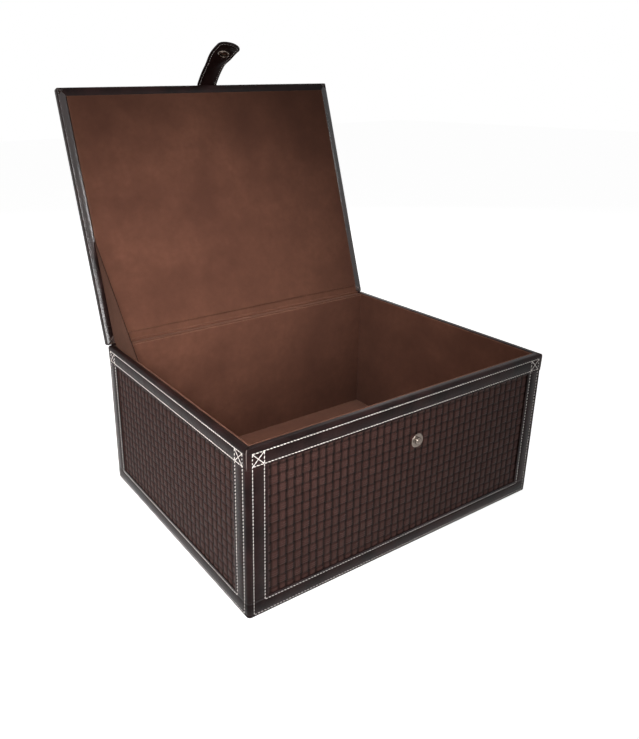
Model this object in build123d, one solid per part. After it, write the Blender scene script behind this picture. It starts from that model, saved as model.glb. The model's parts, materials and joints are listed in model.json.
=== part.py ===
from build123d import *
from math import acos, atan2, cos, degrees, hypot, pi, radians, sin
import os

# A leather-covered stationery box: wooden boards wrapped in smooth leather strips over embossed
# leather panels, suede-covered lining boards inside, and a lid on a leather spine that a suede
# stay holds open. A strap on the lid closes on a press stud in the front.
#
# Origin: middle of the underside. X to the right, Y to the back, Z up. Millimetres and degrees.
# The lid is modelled closed and then swung open to the stay, which is the rest position.

# ---- Body ----
body_width = 400.0
body_depth = 307.0
body_height = 179.0          # table to the top of the rim
corner_radius = 4.0          # upright corners, over the leather
wall_board = 5.0
bottom_board_thickness = 5.0
base_cover_thickness = 1.2   # margin of the sheet under the box, which is level with the board inside
base_cover_inset = 4.0

# ---- Leather ----
panel_thickness = 1.0        # embossed sheet glued to the board
strip_thickness = 1.2        # smooth strips stitched over the edges of the sheets
rim_drop = 20.0              # how far the rim strip comes down outside
rim_inner_drop = 14.0        # and inside, behind the lining
rim_inner_thickness = 0.8
rim_round = 3.0              # roll of the rim's outer edge
rim_inner_round = 1.0
corner_strip_width = 23.0
base_strip_height = 20.0
base_strip_underwrap = 14.0
base_round = 1.5

# ---- Lining ----
lining_thickness = 2.0
lining_sink = 1.8            # rim top to the top of the lining boards
floor_lining_thickness = 1.8
floor_gap = 0.3              # floor lining to the wall linings

# ---- Lid ----
lid_gap = 0.3                # rim to closed lid
lid_margin_thickness = 1.0   # leather turned in under the lid
lid_margin = 10.5            # its width, as far as the lid lining
lid_board_thickness = 6.5
lid_border_width = 22.0      # leather border on top of the lid
lid_edge_round = 2.5
lid_lower_edge_round = 0.8
lid_lining_thickness = 2.2
lid_lining_round = 0.8
lid_lean = 18.4              # open lid, past upright

# ---- Hinge and stay ----
spine_inset = 8.0            # from the sides of the box to the ends of the leather spine
cloth_thickness = 0.6
cloth_tuck = 13.0            # how far the cloth goes down behind the back lining
cloth_fold_radius = 0.35
cloth_clearance = 0.15
stay_thickness = 0.8
stay_on_lid = 125.0          # hinge to the stay's end on the lid
stay_on_wall = 68.0          # hinge to its end on the left wall
stay_clearance = 0.1

# ---- Strap and snap ----
closure_offset = 7.5         # strap and stud, to the right of the middle
strap_width = 29.0
strap_thickness = 2.4
strap_sewn_length = 20.0
strap_overhang = 1.0         # sewn end, past the lid's front edge
strap_length = 90.0          # free length along its inner face
strap_curl_radius = 110.0
strap_start_angle = 53.0     # how steeply it leaves the closed lid, from level
strap_twist = 20.0           # of its outer length about its own line, right edge forwards
strap_link_length = 44.0     # root of the strap to its middle flex line
strap_gap = 0.3              # between the pieces of the strap at a flex line
press_clearance = 1.9        # pressed strap to the front of the box
socket_distance = 62.0       # root of the strap to the socket, along the strap
socket_radius = 7.5
socket_thickness = 2.6
socket_hole_radius = 4.3
socket_floor = 0.6
cap_height = 2.2
stem_radius = 1.5
stem_clearance = 0.05
stud_flange_radius = 8.0
stud_flange_thickness = 1.2
stud_post_radius = 3.5
stud_post_height = 2.9       # above the flange
stud_post_dome = 1.0
washer_radius = 5.0

# ---- Worked out from these ----
half_width = body_width / 2
half_depth = body_depth / 2
board_inset = strip_thickness + panel_thickness
wall_inside = board_inset + wall_board
rim_width = wall_inside + rim_inner_thickness
lining_inside = rim_width + lining_thickness
board_top = body_height - strip_thickness
lining_top = body_height - lining_sink
base_strip_low = base_cover_thickness
bottom_low = base_strip_low + strip_thickness
bottom_top = bottom_low + bottom_board_thickness
floor_top = bottom_top + floor_lining_thickness
rim_low = body_height - rim_drop

lid_low = body_height + lid_gap
lid_board_low = lid_low + lid_margin_thickness
lid_board_top = lid_board_low + lid_board_thickness
lid_border_low = lid_board_top + panel_thickness
lid_top = lid_border_low + strip_thickness
open_angle = 90 + lid_lean

hinge_y = half_depth
hinge_z = body_height + lid_gap / 2
hinge_axis = Axis((0, hinge_y, hinge_z), (1, 0, 0))
spine_half_width = half_width - spine_inset
stay_x = -(half_width - lining_inside)

front = -half_depth
strap_end_slant = radians(strap_start_angle) / 2
far = 2 * max(body_width, body_depth, body_height)


# ---- Shared shapes ----
def block(x0, x1, y0, y1, z0, z1):
    """Box between two corners."""
    return Pos((x0 + x1) / 2, (y0 + y1) / 2, (z0 + z1) / 2) * Box(x1 - x0, y1 - y0, z1 - z0)


def slab(inset, low, high):
    """Upright slab with the outline of the box, moved inwards by inset."""
    width = body_width - 2 * inset
    depth = body_depth - 2 * inset
    radius = corner_radius - inset
    outline = RectangleRounded(width, depth, radius) if radius > 0 else Rectangle(width, depth)
    return Pos(0, 0, low) * extrude(outline, high - low)


def ring(outer_inset, inner_inset, low, high):
    """Upright wall that follows the outline of the box."""
    return slab(outer_inset, low, high) - slab(inner_inset, low, high)


def rounded_slab(low, high, top_round, bottom_round):
    """Full outline with its upper and lower edges rolled over."""
    body = slab(0, low, high)
    if top_round:
        body = fillet(body.faces().sort_by(Axis.Z)[-1].edges(), top_round)
    if bottom_round:
        body = fillet(body.faces().sort_by(Axis.Z)[0].edges(), bottom_round)
    return body


def profile(points, x0, x1):
    """Straight-sided outline in the YZ plane, drawn out from x0 to x1."""
    face = make_face(Plane.YZ * Polyline(*points, close=True))
    return Pos(x0, 0, 0) * extrude(face, x1 - x0, dir=(1, 0, 0))


def opened(shape):
    """Swing a piece of the closed lid open to the stay."""
    return shape.rotate(hinge_axis, -open_angle)


def disc(plane, radius, low, high):
    """Round plate between two heights above a plane."""
    return plane * Pos(0, 0, (low + high) / 2) * Cylinder(radius, high - low)


# ---- Boards of the body ----
def bottom_board():
    return slab(board_inset, bottom_low, bottom_top)


def long_board(side):
    """Front (side -1) or back (side 1) board, over the full width."""
    y0, y1 = sorted((side * (half_depth - board_inset), side * (half_depth - wall_inside)))
    board = block(-half_width, half_width, y0, y1, bottom_top, board_top)
    return board & slab(board_inset, bottom_top, board_top)


def side_board(side):
    """Left (side -1) or right (side 1) board, between the long ones."""
    x0, x1 = sorted((side * (half_width - board_inset), side * (half_width - wall_inside)))
    inner_depth = half_depth - wall_inside
    return block(x0, x1, -inner_depth, inner_depth, bottom_top, board_top)


def front_board():
    return long_board(-1) - stud_stem_hole()


# ---- Leather on the body ----
def panel(cut):
    """Embossed sheet on one wall: the part of the sheet layer inside cut."""
    return ring(strip_thickness, board_inset, bottom_low, board_top) & cut


def long_panel(side):
    reach = half_width - corner_radius
    y0, y1 = sorted((side * (half_depth - board_inset), side * half_depth))
    return panel(block(-reach, reach, y0, y1, 0, body_height))


def side_panel(side):
    reach = half_depth - corner_radius
    x0, x1 = sorted((side * (half_width - board_inset), side * half_width))
    return panel(block(x0, x1, -reach, reach, 0, body_height))


def corner_strip(side_x, side_y):
    """Leather strip round one upright corner, between the base strip and the rim strip."""
    x0, x1 = sorted((side_x * (half_width - corner_strip_width), side_x * half_width))
    y0, y1 = sorted((side_y * (half_depth - corner_strip_width), side_y * half_depth))
    wrap = ring(0, strip_thickness, base_strip_height, rim_low)
    return wrap & block(x0, x1, y0, y1, 0, body_height)


def base_strip():
    """Leather round the foot of the walls, turned in under the box."""
    outside = rounded_slab(base_strip_low, base_strip_height, 0, base_round)
    inside = slab(strip_thickness, bottom_low, base_strip_height)
    return outside - inside - slab(base_strip_underwrap, base_strip_low, bottom_low)


def base_cover():
    """Sheet that hides the turned-in strip and fills the space inside it."""
    margin = slab(base_cover_inset, 0, base_strip_low)
    return margin + slab(base_strip_underwrap, base_strip_low, bottom_low)


def rim_strip():
    """Leather over the top of the front and side walls, with short returns at the back."""
    roll = rounded_slab(rim_low, body_height, rim_round, 0)
    roll -= slab(rim_width, rim_low, body_height)
    roll = fillet(inner_rim_edges(roll), rim_inner_round)
    roll -= ring(strip_thickness, rim_width, rim_low, board_top)
    inner_leg = ring(wall_inside, rim_width, body_height - rim_inner_drop, board_top)
    behind = block(-spine_half_width, spine_half_width, half_depth - rim_width, far, 0, far)
    return roll + inner_leg - behind


def inner_rim_edges(roll):
    """Edges of the opening in the top face of the rim."""
    top = roll.faces().filter_by(Axis.Z).sort_by(Axis.Z)[-1]
    return top.inner_wires()[0].edges()


# ---- Lining boards ----
def long_lining(side):
    y0, y1 = sorted((side * (half_depth - rim_width), side * (half_depth - lining_inside)))
    reach = half_width - lining_inside
    return block(-reach, reach, y0, y1, bottom_top, lining_top)


def side_lining(side):
    x0, x1 = sorted((side * (half_width - rim_width), side * (half_width - lining_inside)))
    reach = half_depth - rim_width
    return block(x0, x1, -reach, reach, bottom_top, lining_top)


def floor_lining():
    reach_x = half_width - lining_inside - floor_gap
    reach_y = half_depth - lining_inside - floor_gap
    return block(-reach_x, reach_x, -reach_y, reach_y, bottom_top, floor_top)


# ---- Lid, closed ----
def lid_board():
    return slab(strip_thickness, lid_board_low, lid_board_top)


def lid_panel():
    return slab(strip_thickness, lid_board_top, lid_border_low)


def lid_lining():
    reach_x = half_width - lid_margin
    reach_y = half_depth - lid_margin
    low = lid_board_low - lid_lining_thickness
    board = block(-reach_x, reach_x, -reach_y, reach_y, low, lid_board_low)
    return fillet(board.faces().sort_by(Axis.Z)[0].edges(), lid_lining_round)


def lid_border():
    """Leather folded round the lid's edges, open where the spine and the hinge cloth are."""
    wrap = rounded_slab(lid_low, lid_top, lid_edge_round, lid_lower_edge_round)
    wrap -= slab(strip_thickness, lid_board_low, lid_border_low)
    wrap -= slab(lid_border_width, lid_border_low, lid_top)
    wrap -= slab(lid_margin, lid_low, lid_board_low)
    spine_front = half_depth - lid_border_width
    wrap -= block(-spine_half_width, spine_half_width, spine_front, far, lid_low, far)
    return wrap


def front_mitre():
    """Upright wedge that holds the front border as far as its mitred corners."""
    reach = half_width + half_depth
    left = (-half_width - reach, front - reach)
    right = (half_width + reach, front - reach)
    apex = (0, front + half_width)
    face = make_face(Polyline(left, right, apex, close=True))
    return Pos(0, 0, lid_low) * extrude(face, lid_top - lid_low)


def lid_border_front():
    return lid_border() & front_mitre()


def lid_border_side(side):
    x0, x1 = sorted((0, side * half_width))
    half = block(x0, x1, -half_depth, half_depth, lid_low, lid_top)
    return (lid_border() - front_mitre()) & half


# ---- Spine, hinge cloth and stay ----
def from_hinge(back, up):
    """Point given from the hinge line, in the YZ plane."""
    return (hinge_y + back, hinge_z + up)


def around_spine(angle):
    """Corner of the cloth's path round the bend of the spine, by its angle from the box."""
    clear = strip_thickness + cloth_clearance + cloth_thickness / 2
    reach = clear / cos(radians(open_angle / 4))
    return from_hinge(-reach * cos(radians(angle)), reach * sin(radians(angle)))


def on_open_lid(out, deep):
    """Point out along the open lid from the hinge line, deep into its thickness."""
    lean = radians(lid_lean)
    return from_hinge(out * sin(lean) + deep * cos(lean), out * cos(lean) - deep * sin(lean))


def spine_block(y0, z0, z1):
    """Block over the length of the spine, from y0 to the back of the box."""
    return block(-spine_half_width, spine_half_width, y0, half_depth, z0, z1)


def spine_leather():
    """One strip: up the back wall, round the hinge line, over the lid's rear edge and onto its top."""
    skin = half_depth - strip_thickness
    wall_leg = spine_block(skin, rim_low, hinge_z)
    wrap = rounded_slab(lid_low, lid_top, lid_edge_round, 0)
    wrap -= slab(strip_thickness, lid_low, lid_border_low)
    over_lid = wrap & spine_block(half_depth - lid_border_width, lid_low, lid_top)
    edge_foot = spine_block(skin, hinge_z, lid_low)
    bend_start = (-spine_half_width, hinge_y, hinge_z)
    bend_plane = Plane(origin=bend_start, x_dir=(0, -1, 0), z_dir=(-1, 0, 0))
    bend = bend_plane * extrude(bend_sector(), -2 * spine_half_width)
    return wall_leg + bend + opened(over_lid + edge_foot)


def bend_sector():
    """Pie slice of the strip's thickness, from the wall round to the open lid."""
    start, middle, end = (
        (strip_thickness * cos(turn), strip_thickness * sin(turn))
        for turn in (0, radians(open_angle / 2), radians(open_angle))
    )
    return make_face([Line((0, 0), start), ThreePointArc(start, middle, end), Line(end, (0, 0))])


def hinge_cloth():
    """Suede strip from behind the back lining, over the back wall and onto the lid."""
    half = cloth_thickness / 2
    over_board = board_top + half - hinge_z
    behind_lining = -wall_inside - rim_inner_thickness / 2
    round_spine = strip_thickness + cloth_clearance + half
    into_margin = lid_board_low - hinge_z - half
    route = [
        from_hinge(behind_lining, over_board - cloth_tuck),
        from_hinge(behind_lining, over_board),
        from_hinge(-round_spine, over_board),
        around_spine(open_angle / 4),
        around_spine(open_angle * 3 / 4),
        on_open_lid(round_spine, into_margin),
        on_open_lid(lid_margin - cloth_clearance, into_margin),
    ]
    line = FilletPolyline(*route, radius=cloth_fold_radius)
    face = Plane.YZ * trace(line, cloth_thickness)
    reach = half_width - lining_inside
    return Pos(-reach, 0, 0) * extrude(face, 2 * reach, dir=(1, 0, 0))


def lid_stay():
    """Suede gusset between the left wall and the left edge of the open lid."""
    on_lining = lining_top - hinge_z
    on_board = board_top - hinge_z + stay_clearance
    near = strip_thickness + cloth_clearance + stay_clearance
    points = [
        from_hinge(-stay_on_wall, on_lining),
        from_hinge(-rim_width - stay_clearance, on_lining),
        from_hinge(-rim_width - stay_clearance, on_board),
        from_hinge(-near - cloth_thickness, on_board),
        from_hinge(-near - cloth_thickness, near),
        on_open_lid(2 * near, lid_gap / 2 - stay_clearance),
        on_open_lid(stay_on_lid, lid_gap / 2 - stay_clearance),
    ]
    return profile(points, stay_x - stay_thickness, stay_x)


# ---- Strap: closed-lid frame, ahead of the lid's front top edge and below it ----
def strap_point(along, height):
    """Point on the curled strap, ahead and down: along from its root, height above its inner face."""
    turn = radians(strap_start_angle)
    centre_ahead = strap_overhang + strap_gap - strap_curl_radius * sin(turn)
    centre_down = strap_curl_radius * cos(turn)
    angle = turn + along / strap_curl_radius
    reach = strap_curl_radius + height
    return (centre_ahead + reach * sin(angle), centre_down - reach * cos(angle))


def strap_yz(along, height):
    ahead, down = strap_point(along, height)
    return (front - ahead, lid_top - down)


def swung(point, centre, angle):
    """Turn an ahead-and-down point about a centre, towards the box."""
    ahead, down = point[0] - centre[0], point[1] - centre[1]
    turn = radians(angle)
    return (
        centre[0] + ahead * cos(turn) - down * sin(turn),
        centre[1] + ahead * sin(turn) + down * cos(turn),
    )


def angle_to_front(point, centre):
    """Turn that brings a point of the strap to the pressed clearance from the front of the box."""
    ahead, down = point[0] - centre[0], point[1] - centre[1]
    wanted = acos((press_clearance - centre[0]) / hypot(ahead, down))
    return degrees(wanted - atan2(down, ahead))


def socket_seat():
    """Gap under the middle of the flat socket, where the strap curves away from it."""
    return strap_curl_radius - (strap_curl_radius**2 - socket_radius**2) ** 0.5


strap_root = strap_point(0, 0)
strap_middle = strap_point(strap_link_length, strap_thickness)
root_press = angle_to_front(strap_point(strap_link_length, 0), strap_root)
middle_pressed = swung(strap_middle, strap_root, root_press)
tip_about_pressed = swung(strap_point(strap_length, 0), strap_root, root_press)
middle_press = angle_to_front(tip_about_pressed, middle_pressed)
socket_mouth = swung(
    strap_point(socket_distance, -socket_seat() - socket_thickness), strap_root, root_press
)
stud_height = lid_top - swung(socket_mouth, middle_pressed, middle_press)[1]
stud_plane = Plane(origin=(closure_offset, front + strip_thickness, stud_height), z_dir=(0, -1, 0))


def strap_sewn_end():
    """End of the strap that is stitched down on the lid, cut off square to half its bend."""
    slant = strap_thickness * sin(strap_end_slant) / cos(strap_end_slant)
    points = [
        (front - strap_overhang, lid_top),
        (front - strap_overhang - slant, lid_top + strap_thickness),
        (front + strap_sewn_length, lid_top + strap_thickness),
        (front + strap_sewn_length, lid_top),
    ]
    return profile(points, closure_offset - strap_width / 2, closure_offset + strap_width / 2)


def strap_arc(along_0, along_1):
    """Curled length of strap between two distances from its root."""
    middle = (along_0 + along_1) / 2
    inner = [strap_yz(along, 0) for along in (along_0, middle, along_1)]
    outer = [strap_yz(along, strap_thickness) for along in (along_1, middle, along_0)]
    edges = [
        ThreePointArc(*inner),
        Line(inner[2], outer[0]),
        ThreePointArc(*outer),
        Line(outer[2], inner[0]),
    ]
    face = Plane.YZ * make_face(edges)
    return Pos(closure_offset - strap_width / 2, 0, 0) * extrude(face, strap_width, dir=(1, 0, 0))


def strap_plane(along, height):
    """Plane square to the strap, with its normal towards the strap's inner side."""
    y, z = strap_yz(along, height)
    y_in, z_in = strap_yz(along, height - 1)
    return Plane(origin=(closure_offset, y, z), x_dir=(1, 0, 0), z_dir=(0, y_in - y, z_in - z))


def twisted(shape):
    """Twist the strap's outer length about its own line at the middle flex line."""
    y, z = strap_yz(strap_link_length, strap_thickness)
    slope = radians(strap_start_angle) + strap_link_length / strap_curl_radius
    line = Axis((closure_offset, y, z), (0, -cos(slope), -sin(slope)))
    return shape.rotate(line, -strap_twist)


def strap_upper():
    return strap_arc(0, strap_link_length - strap_gap / 2)


def strap_lower():
    """Outer length of the strap, with a round end and a hole for the snap's stem."""
    round_from = strap_length - strap_width / 2
    start = strap_link_length + strap_gap / 2
    square_part = strap_arc(start, round_from)
    end_part = strap_arc(round_from, strap_length)
    end_part &= disc(strap_plane(round_from, 0), strap_width / 2, -2 * strap_width, 2 * strap_width)
    stem_hole = disc(strap_plane(socket_distance, 0), stem_radius + stem_clearance, -far, far)
    return square_part + end_part - stem_hole


def snap_socket():
    """Ring on the inner side of the strap that the stud's post enters."""
    plane = strap_plane(socket_distance, -socket_seat())
    body = disc(plane, socket_radius, 0, socket_thickness)
    recess = disc(plane, socket_hole_radius, socket_floor, socket_thickness)
    return body - recess - disc(plane, stem_radius + stem_clearance, 0, socket_thickness)


def snap_cap():
    """Domed head on the outer side, with the stem that holds the socket."""
    plane = strap_plane(socket_distance, strap_thickness)
    dome_radius = (socket_radius**2 + cap_height**2) / (2 * cap_height)
    ball = plane * Pos(0, 0, dome_radius - cap_height) * Sphere(dome_radius)
    head = ball & disc(plane, socket_radius, -cap_height, 0)
    stem_end = strap_thickness + socket_seat() + socket_floor
    return head + disc(plane, stem_radius, -cap_height / 2, stem_end)


# ---- Stud in the front wall ----
def stud_stem_hole():
    return disc(stud_plane, stem_radius + stem_clearance, -far, far) & block(-far, far, front, 0, 0, far)


def panel_front():
    return long_panel(-1) - stud_stem_hole()


def snap_stud():
    """Flange and domed post, with a stem through the panel and the board."""
    post_top = stud_flange_thickness + stud_post_height
    post = disc(stud_plane, stud_post_radius, 0, post_top)
    post = fillet(post.faces().sort_by(Axis.Y)[0].edges(), stud_post_dome)
    flange = disc(stud_plane, stud_flange_radius, 0, stud_flange_thickness)
    stem = disc(stud_plane, stem_radius, -panel_thickness - wall_board - rim_inner_thickness, 0)
    return flange + post + stem


def stud_washer():
    """Washer on the inside of the board that the stem is riveted over."""
    back = -panel_thickness - wall_board
    washer = disc(stud_plane, washer_radius, back - rim_inner_thickness, back)
    return washer - disc(stud_plane, stem_radius + stem_clearance, back - rim_inner_thickness, back)


body_parts = {
    "bottom_board": bottom_board(),
    "front_board": front_board(),
    "back_board": long_board(1),
    "left_board": side_board(-1),
    "right_board": side_board(1),
    "panel_front": panel_front(),
    "panel_back": long_panel(1),
    "panel_left": side_panel(-1),
    "panel_right": side_panel(1),
    "corner_strip_front_left": corner_strip(-1, -1),
    "corner_strip_front_right": corner_strip(1, -1),
    "corner_strip_rear_left": corner_strip(-1, 1),
    "corner_strip_rear_right": corner_strip(1, 1),
    "base_strip": base_strip(),
    "base_cover": base_cover(),
    "rim_strip": rim_strip(),
    "lining_front": long_lining(-1),
    "lining_back": long_lining(1),
    "lining_left": side_lining(-1),
    "lining_right": side_lining(1),
    "lining_floor": floor_lining(),
    "snap_stud": snap_stud(),
    "stud_washer": stud_washer(),
    "spine_leather": spine_leather(),
    "hinge_cloth": hinge_cloth(),
    "lid_stay": lid_stay(),
}

closed_lid_parts = {
    "lid_board": lid_board(),
    "lid_panel": lid_panel(),
    "lid_border_front": lid_border_front(),
    "lid_border_left": lid_border_side(-1),
    "lid_border_right": lid_border_side(1),
    "lid_lining": lid_lining(),
    "strap_sewn_end": strap_sewn_end(),
    "strap_upper": strap_upper(),
    "strap_lower": twisted(strap_lower()),
    "snap_socket": twisted(snap_socket()),
    "snap_cap": twisted(snap_cap()),
}

all_parts = dict(body_parts)
for name, closed_part in closed_lid_parts.items():
    all_parts[name] = opened(closed_part)

os.makedirs("parts", exist_ok=True)
for name, shape in all_parts.items():
    export_step(shape, f"parts/{name}.step")
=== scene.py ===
import json
from math import atan2, ceil, cos, exp, pi, radians, sin, sqrt, tan

import bmesh
import bpy
from mathutils import Matrix, Vector, noise

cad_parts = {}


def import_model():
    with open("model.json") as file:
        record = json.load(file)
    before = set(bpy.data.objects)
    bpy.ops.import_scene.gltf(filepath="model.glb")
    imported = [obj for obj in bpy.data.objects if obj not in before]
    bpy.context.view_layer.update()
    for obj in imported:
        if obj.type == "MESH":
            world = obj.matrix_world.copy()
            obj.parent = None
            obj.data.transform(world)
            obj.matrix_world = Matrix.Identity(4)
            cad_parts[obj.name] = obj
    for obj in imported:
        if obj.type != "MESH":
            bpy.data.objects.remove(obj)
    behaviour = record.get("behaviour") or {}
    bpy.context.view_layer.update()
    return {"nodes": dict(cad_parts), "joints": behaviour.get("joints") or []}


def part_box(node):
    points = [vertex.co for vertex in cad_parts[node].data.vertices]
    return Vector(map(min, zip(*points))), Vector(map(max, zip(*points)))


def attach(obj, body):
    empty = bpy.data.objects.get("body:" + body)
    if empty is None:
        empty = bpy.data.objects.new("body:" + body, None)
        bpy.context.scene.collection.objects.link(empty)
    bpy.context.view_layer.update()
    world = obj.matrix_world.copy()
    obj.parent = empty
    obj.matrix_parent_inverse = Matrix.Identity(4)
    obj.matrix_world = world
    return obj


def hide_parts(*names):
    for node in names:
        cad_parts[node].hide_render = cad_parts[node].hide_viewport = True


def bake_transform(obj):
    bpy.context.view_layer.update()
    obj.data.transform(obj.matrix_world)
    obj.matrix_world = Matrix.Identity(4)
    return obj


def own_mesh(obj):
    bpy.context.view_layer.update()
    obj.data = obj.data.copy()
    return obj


# Looks of a leather-covered stationery box: stitched leather strips over embossed panels, suede
# lining, a suede gusset, a leather spine and a curled strap with a snap.
# Lengths are in metres; MM turns millimetres into them. Lid pieces are made closed, then opened.

MM = 0.001

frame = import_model()
joints = {joint["name"]: joint for joint in frame["joints"]}

# ---- Sizes read from the frame ----
rim, panel, base, lining = map(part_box, ("rim_strip", "panel_front", "base_strip", "lining_left"))
half_w, half_d, rim_top = rim[1]
rim_low, panel_low = rim[0].z, panel[0].z
strip_t = panel[0].y + half_d
panel_t = panel[1].y - panel[0].y
board_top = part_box("front_board")[1].z
base_low, base_top = base[0].z, base[1].z
corner_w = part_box("corner_strip_front_left")[1].x + half_w
lining_top = lining[1].z
lining_out, lining_in = half_w + lining[0].x, half_w + lining[1].x
hinge = Vector(joints["lid_hinge"]["pos_m"])
hinge.x = 0
open_angle = radians(joints["lid_hinge"]["range_deg"][1])
to_open = Matrix.Translation(hinge) @ Matrix.Rotation(-open_angle, 4, "X") @ Matrix.Translation(-hinge)


def closed_box(node):
    """Lowest and highest corner of a lid node, in the closed lid's frame."""
    back = to_open.inverted()
    points = [back @ v.co for v in frame["nodes"][node].data.vertices]
    return [Vector(end(p[i] for p in points) for i in range(3)) for end in (min, max)]


lid_low, lid_top = (corner.z for corner in closed_box("lid_border_left"))
lid_board_low = closed_box("lid_board")[0].z
lid_border_low = closed_box("lid_panel")[1].z
lid_lining_box = closed_box("lid_lining")
lid_margin = half_w - lid_lining_box[1].x

# ---- Sizes of the leather work ----
corner_r = 4 * MM
lid_corner_r = 2 * MM
lid_crown = 0.65 * MM  # rise of the leather turned in under the lid
spine_half = half_w - corner_r - 0.3 * MM
lid_border_w = 22 * MM
base_underwrap = 14 * MM
rim_inner_drop = 14 * MM
rim_inner_t = 0.8 * MM
rim_pinch = 0.6 * MM  # ridge where the rim leather is folded round a corner
rim_roll = 3 * MM
suede_rise = 1.2 * MM  # suede turned up over the top of the lining boards
edge_round = 0.45 * MM
groove_half = 1.0 * MM
groove_depth = 0.28 * MM
stitch_pitch = 3.6 * MM
stitch_length = 2.3 * MM
stitch_share = stitch_length / stitch_pitch
thread_radius = 0.42 * MM
row_from_side = 6.5 * MM  # outer row of stitches to an upright edge
row_from_top = 5 * MM
row_from_foot = 4.3 * MM
row_gap = 12.4 * MM  # outer row to inner row
weave_w = 9 * MM
weave_h = 10 * MM
weave_relief = 0.9 * MM
weave_gap = ((0.1, 0.0), (0.04, 0.06))  # groove beside and above an upright pad, and a lying one
weave_slope = 0.2
weave_level = 0.6  # share of the relief that lies below the sheet's own level
strap_row = 3.2 * MM  # edge stitches of the strap to its edge
side_rows = (row_from_side, row_from_side + row_gap)
head_rows = (row_from_top, row_from_top + row_gap)
groove_shape = ((-1, 0), (-0.5, 0.8), (0, 1), (0.5, 0.8), (1, 0))  # across a groove: shift and depth
crease_radius = 0.38 * MM
mitre_sunk = 0.32 * MM  # how far a lid's crease is let into the leather
glossy_rise = 0.9 * MM  # height over the lid's lowest line up to which its leather is polished


# ---- Mesh helpers ----
def add_object(name, data):
    obj = bpy.data.objects.new(name, data)
    bpy.context.scene.collection.objects.link(obj)
    return obj


def shaded_object(name, mesh, work, material, smooth):
    """Object of a mesh that takes its shape from a bmesh, shaded smooth below an angle."""
    work.to_mesh(mesh)
    work.free()
    mesh.shade_smooth()
    mesh.set_sharp_from_angle(angle=radians(smooth))
    mesh.materials.append(material)
    return add_object(name, mesh)


def add_mesh(name, points, faces, material, smooth=35):
    """Object from points and faces, with doubles merged and faces turned outwards."""
    mesh = bpy.data.meshes.new(name)
    mesh.from_pydata(points, [], faces)
    work = bmesh.new()
    work.from_mesh(mesh)
    bmesh.ops.remove_doubles(work, verts=work.verts, dist=1e-6)
    bmesh.ops.dissolve_degenerate(work, edges=work.edges, dist=1e-6)
    bmesh.ops.recalc_face_normals(work, faces=work.faces)
    return shaded_object(name, mesh, work, material, smooth)


def stands_for(obj, nodes, body=None):
    """The piece replaces CAD nodes, which it hides, and rides on a body when one is given."""
    if body:
        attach(obj, body)
    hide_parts(*nodes)


def leather_piece(name, points, faces, body, *nodes, smooth=35):
    obj = add_mesh(name, points, faces, LEATHER, smooth)
    stands_for(obj, nodes, body)
    return obj


def loft(rows, loop=True, capped=True, start=0):
    """Faces between rows of points; each row is a loop, and the first and last are capped."""
    count = len(rows[0])
    points = [p for row in rows for p in row]
    faces = []
    for r in range(len(rows) - 1):
        for c in range(count if loop else count - 1):
            d = (c + 1) % count
            low, high = start + r * count, start + (r + 1) * count
            faces.append((low + c, low + d, high + d, high + c))
    if capped:
        last = start + (len(rows) - 1) * count
        faces.append(tuple(range(start, start + count)))
        faces.append(tuple(range(last, last + count)))
    return points, faces


def join_lofts(*row_sets):
    """Points and faces of several lofts as one set."""
    points, faces = [], []
    for rows in row_sets:
        more_points, more_faces = loft(rows, start=len(points))
        points += more_points
        faces += more_faces
    return points, faces


def round_corners(corners, steps=4):
    """Closed outline from (a, b, radius) corners, each rounded by its radius."""
    outline = []
    for i, (a, b, radius) in enumerate(corners):
        here = Vector((a, b))
        if radius == 0:
            outline.append((a, b))
            continue
        before = Vector(corners[i - 1][:2])
        after = Vector(corners[(i + 1) % len(corners)][:2])
        into, out = (before - here).normalized(), (after - here).normalized()
        half = into.angle(out) / 2
        cut = radius / tan(half)
        start, end = here + into * cut, here + out * cut
        centre = here + (into + out).normalized() * (radius / sin(half))
        for k in range(steps + 1):
            mid = start.lerp(end, k / steps) - centre
            outline.append(tuple(centre + mid.normalized() * radius))
    return outline


def grooves(fixed, places, along_first, sign):
    """Corner points of shallow stitch grooves cut into one straight side of a section."""
    marks = []
    for place in places:
        for shift, depth in groove_shape:
            a = place + shift * groove_half * sign
            b = fixed + depth * groove_depth * (1 if along_first else -1)
            marks.append((b, a, 0) if along_first else (a, b, 0))
    return marks


def surface_wander(point):
    """Small unevenness of hand-laid leather."""
    return noise.noise(point * 22) * 0.09 * MM + noise.noise(point * 7) * 0.08 * MM


# ---- Stations round the outline of the box: each maps an inset to X and Y ----
def on_front(x):
    return lambda inset: (x, -half_d + inset)


def on_back(x):
    return lambda inset: (x, half_d - inset)


def on_side(side, y):
    return lambda inset: (side * (half_w - inset), y)


def on_corner(side_x, side_y, turn, radius=corner_r, pinch=0.0):
    """Station on an upright corner: turn 0 faces along X, 90 along Y; pinch raises a ridge."""
    def place(inset):
        reach = radius - inset + pinch * exp(-((turn - 45) / 10) ** 2)
        dx, dy = (reach * cos(radians(turn)), reach * sin(radians(turn))) if reach > 0 else (reach, reach)
        return side_x * (half_w - radius + dx), side_y * (half_d - radius + dy)
    return place


def span(low, high, step=14 * MM):
    count = max(1, ceil(abs(high - low) / step))
    return [low + (high - low) * i / count for i in range(count + 1)]


def corner_run(side_x, side_y, first, last, step=15, **shape):
    return [on_corner(side_x, side_y, turn, **shape) for turn in span(first, last, step)]


def past_side(side, **shape):
    """Stations round a side and its two corners, anticlockwise seen from above."""
    reach = half_d - corner_r
    stations = corner_run(side, -side, 90, 0, **shape)
    stations += [on_side(side, y) for y in span(-side * reach, side * reach)]
    return stations + corner_run(side, side, 0, 90, **shape)


def along_front(reach):
    return [on_front(x) for x in span(-reach, reach)]


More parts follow.
